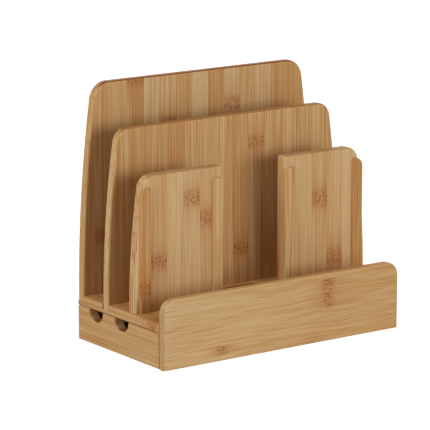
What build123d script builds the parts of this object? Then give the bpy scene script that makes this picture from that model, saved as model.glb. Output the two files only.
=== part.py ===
from build123d import *
import math
import os

# Bamboo charging station: a low hollow base with a front lip, and a rack of uprights that lifts off it.
# Millimetres. X runs left to right, Y front to rear, Z up.
# The origin lies on the ground, under the middle of the whole box.

# Whole object
width = 255.0
depth = 135.0
height = 230.0

# Boards and fits shared by every piece
board = 8.5
arris = 1.6
joint_gap = 0.1
seat_gap = 0.3
cut_over = 1.0
near = 0.05

# Base
lip_height = 61.5
lip_corner = 12.5
side_height = 31.5
notch_radius = 10.5
notch_ease = 0.9
notch_front_from_lip = 57.5
notch_spacing = 40.0
bottom_board = 4.0
bottom_rise = 3.0
groove = 3.0

# Dowels that hold the corners of the base, and the sides that they and the screws are drawn with
round_sides = 8
dowel_diameter = 5.0
dowel_length = 20.0
dowel_in_face = 5.5
dowel_height_shares = (0.40, 0.76)

# Rack floor, a little shorter than the base is wide
rack_inset = 0.5
dado = 5.0
slot_length = 60.0
slot_width = 14.0
cleat_width = 6.5
cleat_height = 7.0
cleat_play = 0.6

# Uprights: thickness, top, and how far the edge draws in from the floor to the top
upright_arris = 2.0
back_inset = 14.8
back_corner = 17.0
middle_height = 195.2
middle_inset = 12.3
middle_corner = 14.0
middle_front_from_lip = 78.5
divider_height = 160.5
divider_thickness = 11.0
divider_inset = 9.8
divider_corner = 13.0
divider_front_from_lip = 38.0
divider_from_end = 1.5
gap_width = 68.0
gap_corner = 2.4

# Battens on the front divider
batten_width = 10.8
batten_thickness = 2.5
batten_below_top = 10.0
batten_from_end = 4.4
batten_outer_corner = 8.0
batten_gap_corner = 4.0
batten_nose = 1.4
batten_ease = 0.8

# Screws that come up through the floor into the uprights
screw_shank = 3.5
screw_head = 7.0
screw_head_height = 2.4
screw_length = 22.0
screw_tip = 3.0
screw_sunk = 0.4
screw_point = 0.3
panel_screw_shares = (-0.74, 0, 0.74)
divider_screw_shares = (0.25, 0.75)

# Places that follow from the sizes above
half_width = width / 2
rack_half = half_width - rack_inset
front = -depth / 2
rear = depth / 2
lip_rear = front + board
floor_bottom = side_height + seat_gap
floor_top = floor_bottom + board
upright_bottom = floor_top - dado
back_front = rear - board
middle_front = lip_rear + middle_front_from_lip
middle_rear = middle_front + board
divider_front = lip_rear + divider_front_from_lip
divider_rear = divider_front + divider_thickness
divider_half = rack_half - divider_from_end
batten_front = divider_front - batten_thickness
screw_base = floor_bottom + screw_sunk
notch_places = [lip_rear + notch_front_from_lip + notch_spacing * i for i in range(2)]
bays = [
    (lip_rear, batten_front),
    (divider_rear, middle_front),
    (middle_rear, back_front),
]


def block(x_range, y_range, z_range):
    sizes = [high - low for low, high in (x_range, y_range, z_range)]
    middles = [(high + low) / 2 for low, high in (x_range, y_range, z_range)]
    return Pos(*middles) * Box(*sizes)


def standing(outline, rear_face, thickness):
    """Board cut to an outline drawn in X and Z, standing with its rear face at a given Y."""
    plane = Plane(origin=(0, rear_face, 0), x_dir=(1, 0, 0), z_dir=(0, -1, 0))
    return extrude(plane * outline, amount=thickness)


def end_edges(solid, axis, lowest):
    """Outline edges of a board's two large faces, above a given height."""
    faces = solid.faces().sort_by(axis)
    edges = faces[0].edges() + faces[-1].edges()
    return [edge for edge in edges if edge.center().Z > lowest + near]


def grown(solid_range, gap):
    low, high = solid_range
    return (low - gap, high + gap)


# Base

def bottom_ranges(gap):
    reach = half_width - board + groove
    return (
        grown((-reach, reach), gap),
        grown((lip_rear - groove, back_front + groove), gap),
        grown((bottom_rise, bottom_rise + bottom_board), gap),
    )


def bottom_groove():
    return block(*bottom_ranges(joint_gap))


def rod(lower_radius, upper_radius, length):
    """Upright round bar or cone with few flat faces, standing on zero."""
    draw_in = (lower_radius - upper_radius) * math.cos(math.pi / round_sides)
    taper = math.degrees(math.atan2(draw_in, length))
    return extrude(RegularPolygon(lower_radius, round_sides), amount=length, taper=taper)


def dowels(gap):
    """Dowels of the four corners: along Y into the front lip, along X into the rear board."""
    length = dowel_length + 2 * gap
    peg = Pos(0, 0, -length / 2) * rod(dowel_diameter / 2 + gap, dowel_diameter / 2 + gap, length)
    pieces = []
    for side in (-1, 1):
        for share in dowel_height_shares:
            level = share * side_height
            across = side * (half_width - board / 2)
            along = lip_rear - dowel_in_face + dowel_length / 2
            pieces.append(Pos(across, along, level) * Rot(90, 0, 0) * peg)
            across = side * (half_width - board + dowel_in_face - dowel_length / 2)
            pieces.append(Pos(across, rear - board / 2, level) * Rot(0, 90, 0) * peg)
    return pieces


def front_lip():
    outline = Pos(0, lip_height / 2) * Rectangle(width, lip_height)
    outline = fillet(outline.vertices().group_by(Axis.Y)[-1], lip_corner)
    panel = standing(outline, lip_rear, board)
    panel = fillet(end_edges(panel, Axis.Y, -board), arris)
    return panel - bottom_groove() - dowels(joint_gap)


def side_board(side):
    """Side of the base, with half-round notches in its top edge for the leads."""
    panel = block((-half_width, board - half_width), (lip_rear, rear), (0, side_height))
    outer = panel.faces().sort_by(Axis.X)[0].edges()
    panel = fillet([edge for edge in outer if edge.center().Z < side_height - near
                    and edge.center().Y > lip_rear + near], arris)
    for place in notch_places:
        notch = Cylinder(notch_radius, 2 * board + cut_over)
        panel -= Pos(-half_width, place, side_height) * Rot(0, 90, 0) * notch
    rim = panel.faces().sort_by(Axis.X)[0].edges()
    eased = [edge for edge in rim if edge.center().Z > side_height - notch_radius - near]
    panel = chamfer(eased, notch_ease)
    if side > 0:
        panel = mirror(panel, about=Plane.YZ)
    return panel - bottom_groove() - dowels(joint_gap)


def rear_board():
    reach = half_width - board
    panel = block((-reach, reach), (back_front, rear), (0, side_height))
    outer = panel.edges().filter_by(Axis.X).group_by(Axis.Y)[-1]
    panel = fillet(outer, arris)
    return panel - bottom_groove() - dowels(joint_gap)


# Rack

def upright_outline(half, top, inset, corner):
    """Board that stands straight at the floor and draws in along one large arc to a rounded top."""
    right = [(half, upright_bottom), (half, floor_top), (half - inset, top)]
    left = [(-x, z) for x, z in right]
    edges = [
        Line(left[0], right[0]),
        Line(right[0], right[1]),
        TangentArc(right[1], right[2], tangent=(0, 1)),
        Line(right[2], left[2]),
        TangentArc(left[1], left[2], tangent=(0, 1)),
        Line(left[1], left[0]),
    ]
    outline = make_face(edges)
    tops = outline.vertices().group_by(Axis.Y)[-1]
    return fillet(tops, corner)


def screw_places():
    """X and Y of each screw, under the middle of the board that it holds."""
    places = []
    for middle in (rear - board / 2, middle_front + board / 2):
        places += [(share * half_width, middle) for share in panel_screw_shares]
    middle = divider_front + divider_thickness / 2
    for side in (-1, 1):
        for share in divider_screw_shares:
            across = gap_width / 2 + share * (divider_half - gap_width / 2)
            places.append((side * across, middle))
    return places


def screw_body(gap):
    """Countersunk wood screw, head down, with its axis on Z and its head's face at zero."""
    head = screw_head / 2 + gap
    shank = screw_shank / 2 + gap
    straight = screw_length + gap - screw_head_height - screw_tip
    body = rod(head, shank, screw_head_height)
    body += Pos(0, 0, screw_head_height) * rod(shank, shank, straight)
    body += Pos(0, 0, screw_head_height + straight) * rod(shank, gap + screw_point, screw_tip)
    return body


def screws():
    return [Pos(x, y, screw_base) * screw_body(0) for x, y in screw_places()]


def screw_bores():
    """Bores for the screws, with the countersinks run out through the underside of the floor."""
    run_out = screw_sunk + cut_over
    head = screw_head / 2 + joint_gap
    bore = screw_body(joint_gap) + Pos(0, 0, -run_out) * rod(head, head, run_out)
    return [Pos(x, y, screw_base) * bore for x, y in screw_places()]


def upright(half, top, inset, corner, rear_face, thickness):
    panel = standing(upright_outline(half, top, inset, corner), rear_face, thickness)
    return fillet(end_edges(panel, Axis.Y, upright_bottom), upright_arris)


def back_panel():
    return upright(rack_half, height, back_inset, back_corner, rear, board) - screw_bores()


def middle_divider():
    panel = upright(rack_half, middle_height, middle_inset, middle_corner, middle_rear, board)
    return panel - screw_bores()


def front_divider(side):
    """One of the two boards that leave the lead gap between them."""
    whole = upright_outline(divider_half, divider_height, divider_inset, divider_corner)
    across = divider_half + cut_over - gap_width / 2
    middle = side * (gap_width / 2 + across / 2)
    keep = Pos(middle, divider_height / 2) * Rectangle(across, divider_height + cut_over)
    outline = whole & keep
    top_inner = outline.vertices().group_by(Axis.Y)[-1].sort_by(lambda vertex: abs(vertex.X))[0]
    outline = fillet(top_inner, gap_corner)
    panel = standing(outline, divider_rear, divider_thickness)
    panel = fillet(end_edges(panel, Axis.Y, upright_bottom), upright_arris)
    return panel - screw_bores()


def rack_floor():
    panel = block((-rack_half, rack_half), (lip_rear + seat_gap, rear), (floor_bottom, floor_top))
    ends = [edge for edge in panel.edges().filter_by(Axis.Y) if edge.center().Z > floor_bottom + near]
    panel = fillet(ends, arris)
    open_end = grown((-rack_half, rack_half), cut_over)
    depth_range = (upright_bottom - joint_gap, floor_top + cut_over)
    panel -= block(open_end, (back_front - joint_gap, rear + cut_over), depth_range)
    panel -= block(open_end, grown((middle_front, middle_rear), joint_gap), depth_range)
    for side in (-1, 1):
        ends = grown(sorted((side * gap_width / 2, side * divider_half)), joint_gap)
        panel -= block(ends, grown((divider_front, divider_rear), joint_gap), depth_range)
    for bay_front, bay_rear in bays:
        hole = Pos(0, (bay_front + bay_rear) / 2) * SlotOverall(slot_length, slot_width)
        lower = floor_bottom - cut_over
        panel -= Pos(0, 0, lower) * extrude(hole, amount=board + 2 * cut_over)
    return panel - screw_bores()


def cleats():
    """Strips under the floor that drop inside the base and keep the rack from sliding."""
    reach = half_width - board - cleat_play
    level = (floor_bottom - cleat_height, floor_bottom)
    front_start = lip_rear + cleat_play
    rear_end = back_front - cleat_play
    return [
        block((-reach, reach), (front_start, front_start + cleat_width), level),
        block((-reach, reach), (rear_end - cleat_width, rear_end), level),
    ]


def batten(side, outer):
    """Upright strip on the face of the front divider, its head rounded towards the nearer end."""
    if outer:
        far = divider_half - batten_from_end
    else:
        far = gap_width / 2 + batten_width
    top = divider_height - batten_below_top
    middle = far - batten_width / 2
    tall = top - floor_top
    outline = Pos(middle, floor_top + tall / 2) * Rectangle(batten_width, tall)
    heads = outline.vertices().group_by(Axis.Y)[-1].sort_by(Axis.X)
    if outer:
        outline = fillet(heads[-1], batten_outer_corner)
    else:
        outline = fillet(heads[0], batten_gap_corner)
    strip = standing(outline, divider_front, batten_thickness)
    crown = strip.faces().sort_by(Axis.Y)[0].edges().sort_by(Axis.Z)[-1]
    strip = fillet(crown, batten_nose)
    flanks = strip.faces().sort_by(Axis.Y)[0].edges().filter_by(Axis.Z)
    strip = chamfer(flanks, batten_ease)
    if side < 0:
        strip = mirror(strip, about=Plane.YZ)
    return strip


def group(solids):
    return Compound(children=list(solids))


def build():
    nodes = {
        "front_lip_panel": front_lip(),
        "left_side_panel": side_board(-1),
        "right_side_panel": side_board(1),
        "rear_base_panel": rear_board(),
        "bottom_board": block(*bottom_ranges(0.0)),
        "base_dowels": group(dowels(0.0)),
        "rack_floor": rack_floor(),
        "back_panel": back_panel(),
        "middle_divider": middle_divider(),
        "front_divider_left": front_divider(-1),
        "front_divider_right": front_divider(1),
        "rack_screws": group(screws()),
    }
    for place, cleat in zip(("front", "rear"), cleats()):
        nodes[f"{place}_cleat"] = cleat
    for side, word in ((-1, "left"), (1, "right")):
        for outer, part in ((True, "outer"), (False, "inner")):
            nodes[f"{word}_{part}_batten"] = batten(side, outer)
    return nodes


os.makedirs("parts", exist_ok=True)
for name, solid in build().items():
    export_step(solid, f"parts/{name}.step")
    size = solid.bounding_box().size
    print(name, len(solid.solids()), "solids", [round(value, 2) for value in (size.X, size.Y, size.Z)])
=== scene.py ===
import math

import bpy
from mathutils import Matrix, Vector

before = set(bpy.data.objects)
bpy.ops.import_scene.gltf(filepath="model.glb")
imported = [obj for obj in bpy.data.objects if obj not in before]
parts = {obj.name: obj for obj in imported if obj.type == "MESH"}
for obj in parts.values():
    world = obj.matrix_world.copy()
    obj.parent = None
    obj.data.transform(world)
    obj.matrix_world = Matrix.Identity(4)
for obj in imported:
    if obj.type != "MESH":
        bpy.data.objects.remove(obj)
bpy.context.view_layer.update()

# Bamboo charging station. Metres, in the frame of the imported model: X left to right, Y front to rear, Z up.
# The wood is strip bamboo, so every board gets staves, fibres and growth rings along its own grain.

# settings that come up often, and a Mix node's sockets for two colours and the result
smooth = {"interpolation_type": "SMOOTHSTEP"}
seeded = {"noise_dimensions": "4D"}
colourMix = {"data_type": "RGBA"}
mixUnder, mixOver, mixOut = 6, 7, 2


def linear(hexColour):
    # sRGB hex to the linear values that the nodes take
    values = [int(hexColour[i:i + 2], 16) / 255 for i in (1, 3, 5)]
    values = [v / 12.92 if v <= 0.04045 else ((v + 0.055) / 1.055) ** 2.4 for v in values]
    return (*values, 1.0)


def addNode(tree, kind, settings=None, links=None):
    # one node, its settings, and its inputs as values or as other nodes' outputs
    node = tree.nodes.new(kind)
    for key, value in (settings or {}).items():
        setattr(node, key, value)
    for socket, source in (links or {}).items():
        if isinstance(source, bpy.types.NodeSocket):
            tree.links.new(source, node.inputs[socket])
        else:
            node.inputs[socket].default_value = source
    return node


def newMaterial(name):
    material = bpy.data.materials.new(name)
    material.use_nodes = True
    material.node_tree.nodes.clear()
    return material, material.node_tree


def rampStops(node, stops):
    # stops are (position, colour) pairs, in order
    elements = node.color_ramp.elements
    while len(elements) > 1:
        elements.remove(elements[-1])
    for index, (position, colour) in enumerate(stops):
        element = elements[0] if index == 0 else elements.new(position)
        element.position = position
        element.color = colour


def placeInMm(tree):
    # where a point of the object is at rest, in mm
    place = addNode(tree, "ShaderNodeTexCoord")
    inMm = addNode(tree, "ShaderNodeVectorMath", {"operation": "SCALE"},
                   {0: place.outputs["Object"], "Scale": 1000.0})
    return inMm.outputs[0]


# Lacquered strip bamboo, planed and sanded, then sealed with satin lacquer: pale staves that differ a
# little in tone, fine brown fibres along the grain, mottled growth rings, and darker end grain.
# Lengths are in mm.
bamboo = {
    "pale": "#d6ba8b", "honey": "#c39860", "tan": "#b17039",
    # the last of these colours is for a painted shade line where a board sits on another
    "fibre": "#b0632a", "ring": "#944d1a", "endGrain": "#8a5424", "seamShade": "#7c4318",

    # Streaks, with their size across and along the grain: fibre bundles, really about 0.5 wide and too
    # fine for the render, so drawn wider; broad soft shades; and long thin brown lines.
    "bundles": {"width": 1.1, "run": 70.0, "detail": 2.0, "seedStep": 1.7},
    "shades": {"width": 3.8, "run": 160.0, "detail": 1.0, "seedStep": 5.1},
    "lines": {"width": 0.8, "run": 110.0, "detail": 0.0, "seedStep": 13.9},
    "streakRoughness": 0.6,
    "lineFull": 0.76,                # noise level at which a brown line is darkest
    "stray": 3.0,                    # how far the grain strays sideways, and over what lengths
    "strayOver": (30.0, 30.0, 120.0),

    "ringSpan": (-200.0, 400.0),     # places along the grain that the table of staves can hold
    "ringCore": 0.12,                # a ring is full within this share of ringTall,
    "ringReach": 0.66,               # and ends at this one
    "ringStrength": 0.72,
    "mottle": (1.0, 1.0, 2.5),       # size of one mottle, longer along the grain
    "mottleSeedStep": 9.3,
    "mottleFrom": (0.43, 0.62),      # noise levels of clear wood and of a mottle,
    "mottleShare": (0.14, 1.02),     # and their shares of the ring's brown
    "halo": 30.0,                    # reach of the softer brown on each side of a ring
    "haloStrength": 0.28,

    "glueLine": 0.5,                 # seam between two staves, really 0.1, drawn wider to show
    "shadedSeamWidth": 0.6,                # half the painted shade line where a board sits on another, also widened
    "shadedSeamStrength": 0.65,
    "edgeTurn": (0.75, 0.98),        # how squarely a surface faces sideways before it is a narrow edge
    "endTurn": (0.82, 0.98),         # the same for end grain,
    "endLean": 0.5,                  # which also takes this share of the rounding next to a broad face
    "bundleEnds": 0.9,               # specks per mm where the bundles are cut across
    "bundleEndFrom": (0.15, 0.45),

    # the lacquer fills the grain, so the relief is slight and the fibres only change the gloss
    "glossFrom": (0.3, 0.7),
    "roughness": (0.45, 0.58),
    "ior": 1.5,
    "specular": 0.07,                # low, because the photograph shows hardly any sheen
    "reliefStrength": 0.5,
    "reliefHeight": 0.00008,         # metres
}

# What a board sets for itself. grain and across are axes, stave is the width of one stave, shift moves
# the seams and seed draws another pattern. staves lists, from the low end of across, each stave's growth
# ring as a place along the grain and its tone from pale 0 to brown 1. The rest stays as it is here
# unless a board changes it.
plainBoard = {
    "from": 0.0,                     # low end of across
    "staveContrast": 0.6,            # how far staves, shades and bundles move the tone
    "shadeContrast": 0.42,
    "bundleContrast": 1.2,
    "tone": -0.78,                   # lower makes the whole board paler
    "paintedEdgeShading": 0.0,                 # painted shade added on the narrow edges, painted light where below 0
    "paintedLightSlope": 0.0,                    # painted light and shade, added for each mm along the grain
    "runShare": 1.0,                 # above 1 makes the streaks shorter
    "lineStrength": 0.5,
    "edgeLines": 0.0,                # added to it on the narrow edges
    "lineFrom": 0.57,                # lower draws more lines
    "ringTall": 16.0,
    "seamStrength": 0.18,
    "endStrength": 0.82,
}

noRing = 300                         # further along the grain than any board goes


def boardSpots(tree, board):
    # A point's place along the grain, across the staves and through the board, how squarely its surface
    # is an end, an edge or a face, and its place as the noises take it.
    alongAxis, acrossAxis = ("XYZ".index(board[key]) for key in ("grain", "across"))
    throughAxis = 3 - alongAxis - acrossAxis
    places = addNode(tree, "ShaderNodeSeparateXYZ", None, {0: placeInMm(tree)})
    surface = addNode(tree, "ShaderNodeTexCoord")
    normals = addNode(tree, "ShaderNodeSeparateXYZ", None, {0: surface.outputs["Normal"]})
    spots = {}
    for way, side, axis in (("along", "end", alongAxis), ("across", "edge", acrossAxis),
                            ("through", "face", throughAxis)):
        squarely = addNode(tree, "ShaderNodeMath", {"operation": "ABSOLUTE"}, {0: normals.outputs[axis]})
        spots[way] = places.outputs[axis]
        spots[side] = squarely.outputs[0]
    onBoard = addNode(tree, "ShaderNodeCombineXYZ", None,
                      {0: spots["across"], 1: spots["through"], 2: spots["along"]})

    # the grain strays a little, so the streaks are not ruled lines
    slowly = addNode(tree, "ShaderNodeVectorMath", {"operation": "MULTIPLY"},
                     {0: onBoard.outputs[0], 1: [1 / length for length in bamboo["strayOver"]]})
    stray = addNode(tree, "ShaderNodeTexNoise", seeded,
                    {"Vector": slowly.outputs[0], "W": board["seed"], "Scale": 1.0, "Detail": 1.0})
    bent = addNode(tree, "ShaderNodeMath", {"operation": "MULTIPLY_ADD"},
                   {0: stray.outputs["Fac"], 1: bamboo["stray"], 2: spots["across"]})
    inGrain = addNode(tree, "ShaderNodeCombineXYZ", None,
                      {0: bent.outputs[0], 1: spots["through"], 2: spots["along"]})
    return {**spots, "onBoard": onBoard.outputs[0], "inGrain": inGrain.outputs[0]}


def streaks(tree, board, spots, kind):
    # noise drawn out along the grain
    width, run = kind["width"], kind["run"]
    stretched = addNode(tree, "ShaderNodeVectorMath", {"operation": "MULTIPLY"},
                        {0: spots["inGrain"], 1: (1 / width, 1 / width, board["runShare"] / run)})
    noise = addNode(tree, "ShaderNodeTexNoise", seeded,
                    {"Vector": stretched.outputs[0], "W": board["seed"] + kind["seedStep"],
                     "Scale": 1.0, "Detail": kind["detail"], "Roughness": bamboo["streakRoughness"]})
    return noise.outputs["Fac"]


def staveUnder(tree, board, spots):
    # How far the nearest seam is, and the tone and ring of the stave under a point. One stepped ramp
    # holds these two, in green and red.
    low, high = bamboo["ringSpan"]
    count = len(board["staves"])
    first = math.floor(board["from"] / board["stave"] + board["shift"])
    at = addNode(tree, "ShaderNodeMath", {"operation": "MULTIPLY_ADD"},
                 {0: spots["across"], 1: 1 / board["stave"], 2: board["shift"]})
    number = addNode(tree, "ShaderNodeMath", {"operation": "FLOOR"}, {0: at.outputs[0]})
    inTable = addNode(tree, "ShaderNodeMath", {"operation": "MULTIPLY_ADD"},
                      {0: number.outputs[0], 1: 1 / count, 2: (0.5 - first) / count})
    table = addNode(tree, "ShaderNodeValToRGB", None, {"Fac": inTable.outputs[0]})
    table.color_ramp.interpolation = "CONSTANT"
    rampStops(table, [(index / count, ((ring - low) / (high - low), tone, 0.0, 1.0))
                      for index, (ring, tone) in enumerate(board["staves"])])
    held = addNode(tree, "ShaderNodeSeparateColor", None, {0: table.outputs["Color"]})
    ringAt = addNode(tree, "ShaderNodeMapRange", None,
                     {"Value": held.outputs["Red"], "To Min": low, "To Max": high})
    inStave = addNode(tree, "ShaderNodeMath", {"operation": "FRACT"}, {0: at.outputs[0]})
    fromSeam = addNode(tree, "ShaderNodeMath", {"operation": "PINGPONG"}, {0: inStave.outputs[0], 1: 0.5})
    return {"tone": held.outputs["Green"], "ringAt": ringAt.outputs[0], "fromSeam": fromSeam.outputs[0]}


def plainWood(tree, board, spots, staveTone, bundles):
    # stave, shade and bundle together pick a colour between pale, honey and tan
    shades = streaks(tree, board, spots, bamboo["shades"])
    fromStave = addNode(tree, "ShaderNodeMath", {"operation": "MULTIPLY"},
                        {0: staveTone, 1: board["staveContrast"]})
    withShades = addNode(tree, "ShaderNodeMath", {"operation": "MULTIPLY_ADD"},
                         {0: shades, 1: board["shadeContrast"], 2: fromStave.outputs[0]})
    withBundles = addNode(tree, "ShaderNodeMath", {"operation": "MULTIPLY_ADD"},
                          {0: bundles, 1: board["bundleContrast"], 2: withShades.outputs[0]})
    edgeFrom, edgeFull = bamboo["edgeTurn"]
    # painted light and shade: a tone added on the narrow edges for how the light falls on them
    toneWithEdgeShading = addNode(tree, "ShaderNodeMapRange", smooth,
                      {"Value": spots["edge"], "From Min": edgeFrom, "From Max": edgeFull,
                       "To Min": board["tone"], "To Max": board["tone"] + board["paintedEdgeShading"]})
    # painted light: a tone that grows along the grain, for light that falls brighter at one end
    toneWithPaintedLight = addNode(tree, "ShaderNodeMath", {"operation": "MULTIPLY_ADD"},
                         {0: spots["along"], 1: board["paintedLightSlope"], 2: toneWithEdgeShading.outputs[0]})
    graded = addNode(tree, "ShaderNodeMath", {"operation": "ADD", "use_clamp": True},
                     {0: withBundles.outputs[0], 1: toneWithPaintedLight.outputs[0]})
    wood = addNode(tree, "ShaderNodeValToRGB", None, {"Fac": graded.outputs[0]})
    rampStops(wood, [(0.0, linear(bamboo["pale"])),
                     (0.5, linear(bamboo["honey"])),
                     (1.0, linear(bamboo["tan"]))])
    return wood.outputs["Color"]


def lineShare(tree, board, spots):
    # thin brown lines where their noise peaks
    lines = streaks(tree, board, spots, bamboo["lines"])
    edgeFrom, edgeFull = bamboo["edgeTurn"]
    most = addNode(tree, "ShaderNodeMapRange", smooth,
                   {"Value": spots["edge"], "From Min": edgeFrom, "From Max": edgeFull,
                    "To Min": board["lineStrength"], "To Max": board["lineStrength"] + board["edgeLines"]})
    share = addNode(tree, "ShaderNodeMapRange", smooth,
                    {"Value": lines, "From Min": board["lineFrom"], "From Max": bamboo["lineFull"],
                     "To Min": 0.0, "To Max": most.outputs[0]})
    return share.outputs[0]


def ringShares(tree, board, spots, ringAt):
    # a soft halo round a stave's growth ring, and the ring itself, mottled and with a ragged edge
    past = addNode(tree, "ShaderNodeMath", {"operation": "SUBTRACT"}, {0: spots["along"], 1: ringAt})
    away = addNode(tree, "ShaderNodeMath", {"operation": "ABSOLUTE"}, {0: past.outputs[0]})
    halo = addNode(tree, "ShaderNodeMapRange", smooth,
                   {"Value": away.outputs[0], "From Min": 0.0, "From Max": bamboo["halo"],
                    "To Min": bamboo["haloStrength"], "To Max": 0.0})
    near = addNode(tree, "ShaderNodeMapRange", smooth,
                   {"Value": away.outputs[0], "From Min": bamboo["ringCore"] * board["ringTall"],
                    "From Max": bamboo["ringReach"] * board["ringTall"],
                    "To Min": bamboo["ringStrength"], "To Max": 0.0})
    inMottles = addNode(tree, "ShaderNodeVectorMath", {"operation": "MULTIPLY"},
                        {0: spots["onBoard"], 1: [1 / size for size in bamboo["mottle"]]})
    noise = addNode(tree, "ShaderNodeTexNoise", seeded,
                    {"Vector": inMottles.outputs[0], "W": board["seed"] + bamboo["mottleSeedStep"],
                     "Scale": 1.0, "Detail": 3.0})
    clear, mottled = bamboo["mottleFrom"]
    least, most = bamboo["mottleShare"]
    patchy = addNode(tree, "ShaderNodeMapRange", smooth,
                     {"Value": noise.outputs["Fac"], "From Min": clear, "From Max": mottled,
                      "To Min": least, "To Max": most})
    ring = addNode(tree, "ShaderNodeMath", {"operation": "MULTIPLY"},
                   {0: near.outputs[0], 1: patchy.outputs[0]})
    return halo.outputs[0], ring.outputs[0]


def endGrain(tree, board, spots):
    # end grain is darker, with the bundles cut across as small specks
    leaning = addNode(tree, "ShaderNodeMath", {"operation": "MULTIPLY_ADD"},
                      {0: spots["face"], 1: bamboo["endLean"], 2: spots["end"]})
    endFrom, endFull = bamboo["endTurn"]
    share = addNode(tree, "ShaderNodeMapRange", smooth,
                    {"Value": leaning.outputs[0], "From Min": endFrom, "From Max": endFull,
                     "To Min": 0.0, "To Max": board["endStrength"]})
    specks = addNode(tree, "ShaderNodeTexVoronoi", None,
                     {"Vector": spots["onBoard"], "Scale": bamboo["bundleEnds"]})
    speckFrom, speckTo = bamboo["bundleEndFrom"]
    between = addNode(tree, "ShaderNodeMapRange", smooth,
                      {"Value": specks.outputs["Distance"], "From Min": speckFrom, "From Max": speckTo})
    wood = addNode(tree, "ShaderNodeMix", colourMix,
                   {"Factor": between.outputs[0], mixUnder: linear(bamboo["fibre"]),
                    mixOver: linear(bamboo["endGrain"])})
    return share.outputs[0], wood.outputs[mixOut]


def seamShare(tree, board, fromSeam):
    # a thin brown line between two staves
    share = addNode(tree, "ShaderNodeMapRange", smooth,
                    {"Value": fromSeam, "From Min": 0.0, "From Max": bamboo["glueLine"] / board["stave"],
                     "To Min": board["seamStrength"], "To Max": 0.0})
    return share.outputs[0]


def paintedSeamShade(tree, board, spots):
    # painted shade: a brown line at one height through the board, for the shade in the groove where a level
    # board sits on another
    atSeat = addNode(tree, "ShaderNodeMath", {"operation": "COMPARE"},
                     {0: spots["through"], 1: board["shadedSeamAt"], 2: bamboo["shadedSeamWidth"]})
    share = addNode(tree, "ShaderNodeMath", {"operation": "MULTIPLY"},
                    {0: atSeat.outputs[0], 1: bamboo["shadedSeamStrength"]})
    return share.outputs[0]


def bambooBoard(nodeName, ownSettings):
    material, tree = newMaterial("lacqueredBamboo_" + nodeName)
    board = {**plainBoard, **ownSettings}
    spots = boardSpots(tree, board)
    stave = staveUnder(tree, board, spots)
    bundles = streaks(tree, board, spots, bamboo["bundles"])
    wood = plainWood(tree, board, spots, stave["tone"], bundles)

    # stains over the plain wood, and a painted shade line where a board sets one, each with the share that it
    # takes, the lowest first
    haloShare, ringShare = ringShares(tree, board, spots, stave["ringAt"])
    stainsAndShade = [(lineShare(tree, board, spots), linear(bamboo["fibre"])),
              (haloShare, linear(bamboo["tan"])),
              (ringShare, linear(bamboo["ring"])),
              (seamShare(tree, board, stave["fromSeam"]), linear(bamboo["fibre"]))]
    if "shadedSeamAt" in board:
        stainsAndShade.append((paintedSeamShade(tree, board, spots), linear(bamboo["seamShade"])))
    stainsAndShade.append(endGrain(tree, board, spots))
    for share, colour in stainsAndShade:
        overlaid = addNode(tree, "ShaderNodeMix", colourMix,
                          {"Factor": share, mixUnder: wood, mixOver: colour})
        wood = overlaid.outputs[mixOut]

    low, high = bamboo["glossFrom"]
    finest, roughest = bamboo["roughness"]
    gloss = addNode(tree, "ShaderNodeMapRange", None,
                    {"Value": bundles, "From Min": low, "From Max": high,
                     "To Min": finest, "To Max": roughest})
    relief = addNode(tree, "ShaderNodeBump", None,
                     {"Height": bundles, "Strength": bamboo["reliefStrength"],
                      "Distance": bamboo["reliefHeight"]})
    shader = addNode(tree, "ShaderNodeBsdfPrincipled", None,
                     {"Base Color": wood, "Roughness": gloss.outputs[0], "Normal": relief.outputs[0],
                      "IOR": bamboo["ior"], "Specular IOR Level": bamboo["specular"]})
    addNode(tree, "ShaderNodeOutputMaterial", None, {"Surface": shader.outputs[0]})
    return material


# Uprights: staves stand on end, glued edge to edge. Ring places are heights above the ground, low X first.
# The edge tones set below are painted shade on a board's narrow ends, and painted light where they are below
# 0.
upright = {"grain": "Z", "across": "X", "stave": 17.5, "staveContrast": 0.45}
frontDivider = {**upright, "shift": 0.2857, "bundleContrast": 0.8, "tone": -0.58, "paintedEdgeShading": 0.12,
                "lineFrom": 0.54, "edgeLines": 0.8, "endStrength": 0.4}
uprights = {
    "back_panel": {
        **upright, "shift": 0.514, "from": -126.9, "seed": 3.0,
        "staves": [(noRing, 0.9), (92, 0.8), (150, 0.6), (230, 0.9), (noRing, 0.2), (185, 0.5),
                   (128, 0.8), (76, 0.3), (noRing, 0.95), (196, 0.4), (112, 0.7), (168, 0.3), (60, 1.0),
                   (noRing, 0.9), (140, 0.4)],
        "shadeContrast": 0.5, "paintedEdgeShading": -0.1, "lineFrom": 0.54, "endStrength": 1.0,
    },
    "middle_divider": {
        **upright, "shift": 0.6, "from": -126.9, "seed": 11.0,
        # its two staves at the low X end are browner, partly as the wood's own tone and partly as painted
        # shade where the left front divider shades them
        "staves": [(noRing, 1.0), (noRing, 0.9), (96, 0.8), (130, 0.6), (75, 0.9), (noRing, 0.5),
                   (118, 0.7), (noRing, 0.5), (72, 0.8), (168, 0.5), (noRing, 0.6), (104, 0.4),
                   (140, 0.7), (noRing, 0.5), (88, 0.6)],
        "shadeContrast": 0.55, "bundleContrast": 1.15, "paintedEdgeShading": -0.4,
        "lineStrength": 0.62, "lineFrom": 0.5, "endStrength": 0.6,
    },
    "front_divider_left": {
        **frontDivider, "from": -125.4, "seed": 21.0, "ringTall": 18.0,
        "staves": [(noRing, 0.2), (83.5, 0.55), (noRing, 0.3), (135.5, 0.3), (115.5, 0.65),
                   (noRing, 0.4)],
    },
    "front_divider_right": {
        **frontDivider, "from": 34.6, "seed": 33.0, "ringTall": 20.0,
        "staves": [(noRing, 0.4), (noRing, 0.4), (118.5, 0.75), (62, 0.5), (noRing, 0.15),
                   (noRing, 0.6)],
    },
}

for nodeName, board in uprights.items():
    parts[nodeName].material_slots[0].material = bambooBoard(nodeName, board)
print("uprights dressed:", len(uprights))

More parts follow.
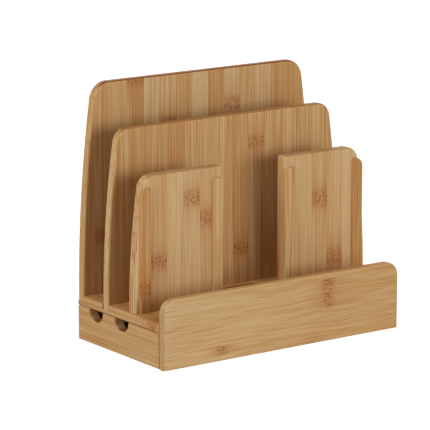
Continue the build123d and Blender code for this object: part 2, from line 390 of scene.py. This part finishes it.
# Battens: each is one stave, planed and rounded, so it has fibres but no seams.
batten = {"grain": "Z", "across": "X", "stave": 400.0, "shift": 0.5, "shadeContrast": 0.6,
          "bundleContrast": 1.3, "lineStrength": 0.8, "seamStrength": 0.0, "endStrength": 0.15}
battens = {
    "left_outer_batten": {**batten, "seed": 41.0, "staves": [(62, 0.6)]},
    "left_inner_batten": {**batten, "seed": 43.5, "staves": [(noRing, 0.28)]},
    "right_inner_batten": {**batten, "seed": 47.0, "staves": [(noRing, 0.25)]},
    "right_outer_batten": {**batten, "seed": 52.0, "staves": [(noRing, 0.7)]},
}

for nodeName, board in battens.items():
    parts[nodeName].material_slots[0].material = bambooBoard(nodeName, board)
print("battens dressed:", len(battens))

# Base and floor: the staves lie along each board, and their seams hardly show. The lip is laid up from narrow
# ones, and painted light makes it paler towards its left end.
# The edge tones of the lip and the side panels are painted shade on their tops and bottoms; the rack floor's
# is painted light on its ends.
sidePanel = {"grain": "Y", "across": "Z", "stave": 20.0, "shadeContrast": 0.7, "tone": -0.92,
             "paintedEdgeShading": 0.7, "endStrength": 0.3}
cleat = {"grain": "X", "across": "Y", "stave": 400.0, "shift": 0.5, "seamStrength": 0.0}
flatBoards = {
    "front_lip_panel": {
        "grain": "X", "across": "Z", "stave": 4.333, "shift": 0.8458, "seed": 62.0,
        "staves": [(20, 0.5), (noRing, 0.45), (-68, 0.6), (-68, 0.5), (noRing, 0.4), (noRing, 0.55),
                   (noRing, 0.5), (noRing, 0.45), (48, 0.55), (48, 0.5), (48, 0.6), (48, 0.5),
                   (48, 0.45), (48, 0.5), (noRing, 0.55), (noRing, 0.5)],
        "staveContrast": 0.3, "shadeContrast": 0.3, "bundleContrast": 0.9, "tone": -0.46,
        "paintedEdgeShading": 0.3, "paintedLightSlope": 0.0009, "runShare": 2.2, "lineStrength": 0.32,
        "seamStrength": 0.0, "endStrength": 0.25,
    },
    "left_side_panel": {
        **sidePanel, "shift": 0.3, "seed": 71.0,
        "staves": [(noRing, 0.5), (noRing, 0.6), (noRing, 0.5)],
    },
    "right_side_panel": {
        **sidePanel, "shift": 0.6, "seed": 77.0,
        "staves": [(noRing, 0.5), (22, 0.6), (noRing, 0.4)],
    },
    "rear_base_panel": {
        "grain": "X", "across": "Z", "stave": 20.0, "shift": 0.2, "seed": 83.0,
        "staves": [(-70, 0.5), (38, 0.4), (noRing, 0.6)],
        "shadeContrast": 0.9,
    },
    "rack_floor": {
        "grain": "Y", "across": "X", "stave": 18.2, "shift": 0.0, "from": -126.9, "seed": 91.0,
        "staves": [(-48, 0.6), (noRing, 0.4), (20, 0.7), (-30, 0.5), (noRing, 0.3), (46, 0.6),
                   (-10, 0.5), (noRing, 0.7), (-52, 0.4), (30, 0.6), (noRing, 0.5), (-36, 0.7),
                   (8, 0.4), (noRing, 0.6)],
        # the brown line at 32 is painted shade of the groove under the floor's lower edge
        "shadeContrast": 0.8, "paintedEdgeShading": -0.18, "shadedSeamAt": 32.0,
    },
    "front_cleat": {**cleat, "seed": 95.0, "staves": [(24, 0.5)]},
    "rear_cleat": {**cleat, "seed": 97.0, "staves": [(-80, 0.6)]},
}

for nodeName, board in flatBoards.items():
    parts[nodeName].material_slots[0].material = bambooBoard(nodeName, board)
print("base and floor dressed:", len(flatBoards))

# Birch plywood, sanded and left bare: a pale rotary-cut face with soft wide figure, layered at its edge.
# Lengths are in mm, but the relief is in metres.
ply = {"face": "#c8a878", "figure": "#b28d5c", "glue": "#7c5532",
       "figureSize": (90.0, 9.0, 9.0), "figureFrom": (0.35, 0.7),
       "layer": 1.3, "glueWithin": (0.05, 0.3), "glueStrength": 0.5,
       "roughness": 0.7, "reliefStrength": 0.4, "reliefHeight": 0.0002}


def birchPlywood():
    material, tree = newMaterial("sandedBirchPlywood")
    place = placeInMm(tree)
    stretched = addNode(tree, "ShaderNodeVectorMath", {"operation": "MULTIPLY"},
                        {0: place, 1: [1 / size for size in ply["figureSize"]]})
    figure = addNode(tree, "ShaderNodeTexNoise", None,
                     {"Vector": stretched.outputs[0], "Scale": 1.0, "Detail": 4.0})
    face = addNode(tree, "ShaderNodeValToRGB", None, {"Fac": figure.outputs["Fac"]})
    plain, figured = ply["figureFrom"]
    rampStops(face, [(plain, linear(ply["face"])), (figured, linear(ply["figure"]))])
    axes = addNode(tree, "ShaderNodeSeparateXYZ", None, {0: place})
    fromGlue = addNode(tree, "ShaderNodeMath", {"operation": "PINGPONG"},
                       {0: axes.outputs["Z"], 1: ply["layer"] / 2})
    glued, clear = ply["glueWithin"]
    glue = addNode(tree, "ShaderNodeMapRange", smooth,
                   {"Value": fromGlue.outputs[0], "From Min": glued, "From Max": clear,
                    "To Min": ply["glueStrength"], "To Max": 0.0})
    layered = addNode(tree, "ShaderNodeMix", colourMix,
                      {"Factor": glue.outputs[0], mixUnder: face.outputs["Color"],
                       mixOver: linear(ply["glue"])})
    relief = addNode(tree, "ShaderNodeBump", None,
                     {"Height": figure.outputs["Fac"], "Strength": ply["reliefStrength"],
                      "Distance": ply["reliefHeight"]})
    shader = addNode(tree, "ShaderNodeBsdfPrincipled", None,
                     {"Base Color": layered.outputs[mixOut], "Roughness": ply["roughness"],
                      "Normal": relief.outputs[0]})
    addNode(tree, "ShaderNodeOutputMaterial", None, {"Surface": shader.outputs[0]})
    return material


# Beech dowel, turned and fluted in a die: plain, even and slightly pink. Flecks in mm, relief in metres.
dowel = {"wood": "#cfa87c", "fleck": "#b0814f", "fleckSize": 1.2, "fleckFrom": (0.4, 0.7),
         "roughness": 0.65, "reliefHeight": 0.0001}


def beechDowel():
    material, tree = newMaterial("turnedBeechDowel")
    flecks = addNode(tree, "ShaderNodeTexNoise", None,
                     {"Vector": placeInMm(tree), "Scale": 1 / dowel["fleckSize"], "Detail": 3.0})
    wood = addNode(tree, "ShaderNodeValToRGB", None, {"Fac": flecks.outputs["Fac"]})
    plain, flecked = dowel["fleckFrom"]
    rampStops(wood, [(plain, linear(dowel["wood"])), (flecked, linear(dowel["fleck"]))])
    relief = addNode(tree, "ShaderNodeBump", None,
                     {"Height": flecks.outputs["Fac"], "Distance": dowel["reliefHeight"]})
    shader = addNode(tree, "ShaderNodeBsdfPrincipled", None,
                     {"Base Color": wood.outputs["Color"], "Roughness": dowel["roughness"],
                      "Normal": relief.outputs[0]})
    addNode(tree, "ShaderNodeOutputMaterial", None, {"Surface": shader.outputs[0]})
    return material


# Zinc-plated steel screw, rolled and plated: bright, faintly yellow, with fine turning marks round the
# head. Marks are in mm.
screw = {"zinc": "#cfcdc4", "dull": "#a9a69c", "markSize": 0.6, "markFrom": (0.35, 0.7),
         "roughness": (0.24, 0.44)}


def zincSteel():
    material, tree = newMaterial("zincPlatedSteel")
    marks = addNode(tree, "ShaderNodeTexNoise", None,
                    {"Vector": placeInMm(tree), "Scale": 1 / screw["markSize"], "Detail": 2.0})
    zinc = addNode(tree, "ShaderNodeValToRGB", None, {"Fac": marks.outputs["Fac"]})
    bright, marked = screw["markFrom"]
    rampStops(zinc, [(bright, linear(screw["zinc"])), (marked, linear(screw["dull"]))])
    finest, roughest = screw["roughness"]
    gloss = addNode(tree, "ShaderNodeMapRange", None,
                    {"Value": marks.outputs["Fac"], "To Min": finest, "To Max": roughest})
    shader = addNode(tree, "ShaderNodeBsdfPrincipled", None,
                     {"Base Color": zinc.outputs["Color"], "Roughness": gloss.outputs[0], "Metallic": 1.0})
    addNode(tree, "ShaderNodeOutputMaterial", None, {"Surface": shader.outputs[0]})
    return material


parts["bottom_board"].material_slots[0].material = birchPlywood()
parts["base_dowels"].material_slots[0].material = beechDowel()
parts["rack_screws"].material_slots[0].material = zincSteel()
print("board, dowels and screws dressed")


def backgroundSeen(tree):
    # 1 where the background is looked at, mirrored or seen through, and 0 where it lights the object
    ray = addNode(tree, "ShaderNodeLightPath")
    direct = addNode(tree, "ShaderNodeMath", {"operation": "ADD"},
                     {0: ray.outputs["Is Camera Ray"], 1: ray.outputs["Is Glossy Ray"]})
    seen = addNode(tree, "ShaderNodeMath", {"operation": "ADD", "use_clamp": True},
                   {0: direct.outputs[0], 1: ray.outputs["Is Transmission Ray"]})
    return seen.outputs[0]


# Floor: plain white paper, matt. Its lift takes it to the white of the background but keeps the contact
# shadow, and rises to full white with the distance from the object, where the lights no longer reach.
# Lengths are in metres.
floor = {"size": 60.0, "paper": "#e6e6e6", "lift": 0.72, "fadeFrom": 0.6, "fadeTo": 3.0}
white = linear("#ffffff")


def paperFloor():
    material, tree = newMaterial("mattWhitePaper")
    place = addNode(tree, "ShaderNodeTexCoord")
    fromMiddle = addNode(tree, "ShaderNodeVectorMath", {"operation": "LENGTH"},
                         {0: place.outputs["Object"]})
    lift = addNode(tree, "ShaderNodeMapRange", smooth,
                   {"Value": fromMiddle.outputs["Value"], "From Min": floor["fadeFrom"],
                    "From Max": floor["fadeTo"], "To Min": floor["lift"], "To Max": 1.0})
    strength = addNode(tree, "ShaderNodeMath", {"operation": "MULTIPLY"},
                       {0: backgroundSeen(tree), 1: lift.outputs[0]})
    paper = addNode(tree, "ShaderNodeBsdfDiffuse", None, {"Color": linear(floor["paper"])})
    glow = addNode(tree, "ShaderNodeEmission", None, {"Color": white, "Strength": strength.outputs[0]})
    both = addNode(tree, "ShaderNodeAddShader", None, {0: paper.outputs[0], 1: glow.outputs[0]})
    addNode(tree, "ShaderNodeOutputMaterial", None, {"Surface": both.outputs[0]})
    return material


half = floor["size"] / 2
corners = [(-half, -half, 0), (half, -half, 0), (half, half, 0), (-half, half, 0)]
floorMesh = bpy.data.meshes.new("paper_floor")
floorMesh.from_pydata(corners, [], [(0, 1, 2, 3)])
floorMesh.materials.append(paperFloor())
paperSheet = bpy.data.objects.new("paper_floor", floorMesh)
bpy.context.scene.collection.objects.link(paperSheet)
print("floor laid")

# Soft studio light: a low wide box in front keeps the front faces brighter than the tops, one at the
# left lights the ends, and weaker ones above and behind reach the floor of the bays and the back. A faint
# warm glow from all round stands for what the wood and the room reflect. Metres and watts.
studio = {
    "boxes": [
        {"name": "frontBox", "place": (0.9, -2.75, 0.55), "size": (2.6, 1.3), "power": 48.8},
        {"name": "topBox", "place": (-0.5, -0.3, 2.4), "size": (1.6, 1.6), "power": 16.0},
        {"name": "sideBox", "place": (-2.5, -0.3, 1.1), "size": (1.3, 1.3), "power": 34.0},
        {"name": "rearBox", "place": (1.2, 2.6, 0.9), "size": (1.6, 1.6), "power": 26.0},
    ],
    "aim": (0.0, 0.0, 0.1),
    "glow": 0.08,
    "glowTint": "#ffc28c",
}

world = bpy.data.worlds.new("studio")
bpy.context.scene.world = world
world.use_nodes = True
sky = world.node_tree
sky.nodes.clear()
skySeen = backgroundSeen(sky)
skyLevel = addNode(sky, "ShaderNodeMapRange", None,
                   {"Value": skySeen, "To Min": studio["glow"], "To Max": 1.0})
skyTint = addNode(sky, "ShaderNodeMix", colourMix,
                  {"Factor": skySeen, mixUnder: linear(studio["glowTint"]), mixOver: white})
skyGlow = addNode(sky, "ShaderNodeBackground", None,
                  {"Color": skyTint.outputs[mixOut], "Strength": skyLevel.outputs[0]})
addNode(sky, "ShaderNodeOutputWorld", None, {"Surface": skyGlow.outputs[0]})

for box in studio["boxes"]:
    light = bpy.data.lights.new(box["name"], "AREA")
    light.shape = "RECTANGLE"
    light.size, light.size_y = box["size"]
    light.energy = box["power"]
    lamp = bpy.data.objects.new(box["name"], light)
    lamp.location = box["place"]
    ray = Vector(studio["aim"]) - Vector(box["place"])
    lamp.rotation_euler = ray.to_track_quat("-Z", "Y").to_euler()
    bpy.context.scene.collection.objects.link(lamp)
print("lights placed:", len(studio["boxes"]))

# Camera at the photograph's angle: turn and tilt in degrees, place and clip in metres, and the lens and
# sensor in mm.
view = {"turn": 35.629, "tilt": 12.417, "place": (-1.41522, -1.93787, 0.63649),
        "lens": 231.97, "sensor": 36.0, "clip": 100.0}

turn, tilt = (math.radians(view[key]) for key in ("turn", "tilt"))
ahead = Vector((math.sin(turn) * math.cos(tilt), math.cos(turn) * math.cos(tilt), -math.sin(tilt)))
sideways = Vector((math.cos(turn), -math.sin(turn), 0))
up = sideways.cross(ahead)
lens = bpy.data.cameras.new("photoCamera")
lens.lens = view["lens"]
lens.sensor_width = view["sensor"]
lens.sensor_fit = "HORIZONTAL"
lens.clip_end = view["clip"]
camera = bpy.data.objects.new("photoCamera", lens)
pose = Matrix((sideways, up, -ahead)).transposed().to_4x4()
pose.translation = Vector(view["place"])
camera.matrix_world = pose
bpy.context.scene.collection.objects.link(camera)
bpy.context.scene.camera = camera
bpy.context.scene.view_settings.view_transform = "Standard"
print("camera set")
